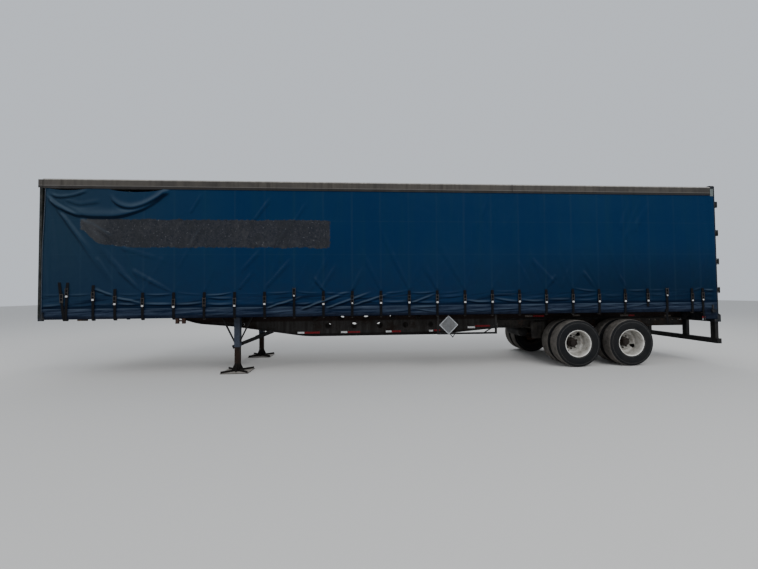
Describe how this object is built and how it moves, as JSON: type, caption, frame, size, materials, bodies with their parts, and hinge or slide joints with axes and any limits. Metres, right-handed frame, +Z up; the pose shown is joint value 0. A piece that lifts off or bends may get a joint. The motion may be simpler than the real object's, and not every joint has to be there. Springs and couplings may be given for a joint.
{
  "type": "semi trailer",
  "caption": "Long curtain-sided semi trailer with a sliding tandem of twin wheels, landing legs and swinging rear doors, parked on its legs.",
  "frame": {"origin": "middle of the body's length and width, on the ground", "axes": "+X to the rear doors, +Y to the right-hand side seen facing forward, +Z up"},
  "size_m": [14.75, 2.652, 4.09],
  "materials": {
    "chassis": "weathered paint with rust",
    "rail": "dull, weathered",
    "deck": "worn hardwood boards",
    "wall": "faded paint",
    "roof": "dull, dusty",
    "frame": "dark weathered paint",
    "curtain": "coated cloth, dusty",
    "webbing": "woven",
    "buckle": "dull, rusty edges",
    "leg": "faded paint over rust",
    "black_steel": "worn satin black",
    "board": "bare and scratched",
    "coupling": "cast",
    "lamp": "gloss",
    "spring": "rusty",
    "axle": "dirty and rusty",
    "tyre": "worn, dusty",
    "wheel": "dusty white paint",
    "hub": "rusty",
    "door": "faded paint",
    "gear": "dull zinc with rust"
  },
  "bodies": {
    "trailer": {"main_beams": "chassis", "cross_members": "chassis", "side_rails": "rail", "deck": "deck", "front_posts": "wall", "front_rails": "wall", "front_wall": "wall", "roof_rails": "rail", "roof_panel": "roof", "roof_bows": "rail", "rear_frame": "frame", "curtain_left": "curtain", "curtain_right": "curtain", "curtain_straps": "webbing", "strap_buckles": "buckle", "curtain_posts": "rail", "curtain_tensioners": "buckle", "coupler_plate": "chassis", "landing_leg_left": "leg", "landing_leg_right": "leg", "landing_wings": "chassis", "landing_struts": "black_steel", "landing_crank": "black_steel", "slider_rails": "chassis", "rear_guard": "black_steel", "side_rack": "black_steel", "placard_board": "board", "air_couplings": "coupling", "lamps": "lamp"},
    "bogie": {"bogie_frame": "chassis", "spring_hangers": "chassis", "leaf_springs": "spring", "radius_rods": "spring", "air_tanks": "black_steel", "axle_front": "axle", "axle_rear": "axle"},
    "wheel_front_left": {"tyres_front_left": "tyre", "wheels_front_left": "wheel", "hub_front_left": "hub"},
    "wheel_front_right": {"tyres_front_right": "tyre", "wheels_front_right": "wheel", "hub_front_right": "hub"},
    "wheel_rear_left": {"tyres_rear_left": "tyre", "wheels_rear_left": "wheel", "hub_rear_left": "hub"},
    "wheel_rear_right": {"tyres_rear_right": "tyre", "wheels_rear_right": "wheel", "hub_rear_right": "hub"},
    "rear_door_left": {"door_left": "door", "door_gear_left": "gear"},
    "rear_door_right": {"door_right": "door", "door_gear_right": "gear"}
  },
  "joints": [
    {"name": "bogie_slide", "type": "slide", "parent": "trailer", "child": "bogie", "axis": [1, 0, 0], "range_m": [-0.6, 0.95]},
    {"name": "wheel_front_left_turn", "type": "hinge", "parent": "bogie", "child": "wheel_front_left", "pos_m": [3.985, -0.985, 0.52], "axis": [0, 1, 0], "continuous": true},
    {"name": "wheel_front_right_turn", "type": "hinge", "parent": "bogie", "child": "wheel_front_right", "pos_m": [3.985, 0.985, 0.52], "axis": [0, 1, 0], "continuous": true},
    {"name": "wheel_rear_left_turn", "type": "hinge", "parent": "bogie", "child": "wheel_rear_left", "pos_m": [5.23, -0.985, 0.52], "axis": [0, 1, 0], "continuous": true},
    {"name": "wheel_rear_right_turn", "type": "hinge", "parent": "bogie", "child": "wheel_rear_right", "pos_m": [5.23, 0.985, 0.52], "axis": [0, 1, 0], "continuous": true},
    {"name": "rear_door_left_swing", "type": "hinge", "parent": "trailer", "child": "rear_door_left", "pos_m": [7.357, -1.29, 2.68], "axis": [0, 0, -1], "range_deg": [0, 270]},
    {"name": "rear_door_right_swing", "type": "hinge", "parent": "trailer", "child": "rear_door_right", "pos_m": [7.357, 1.29, 2.68], "axis": [0, 0, 1], "range_deg": [0, 270]}
  ]
}
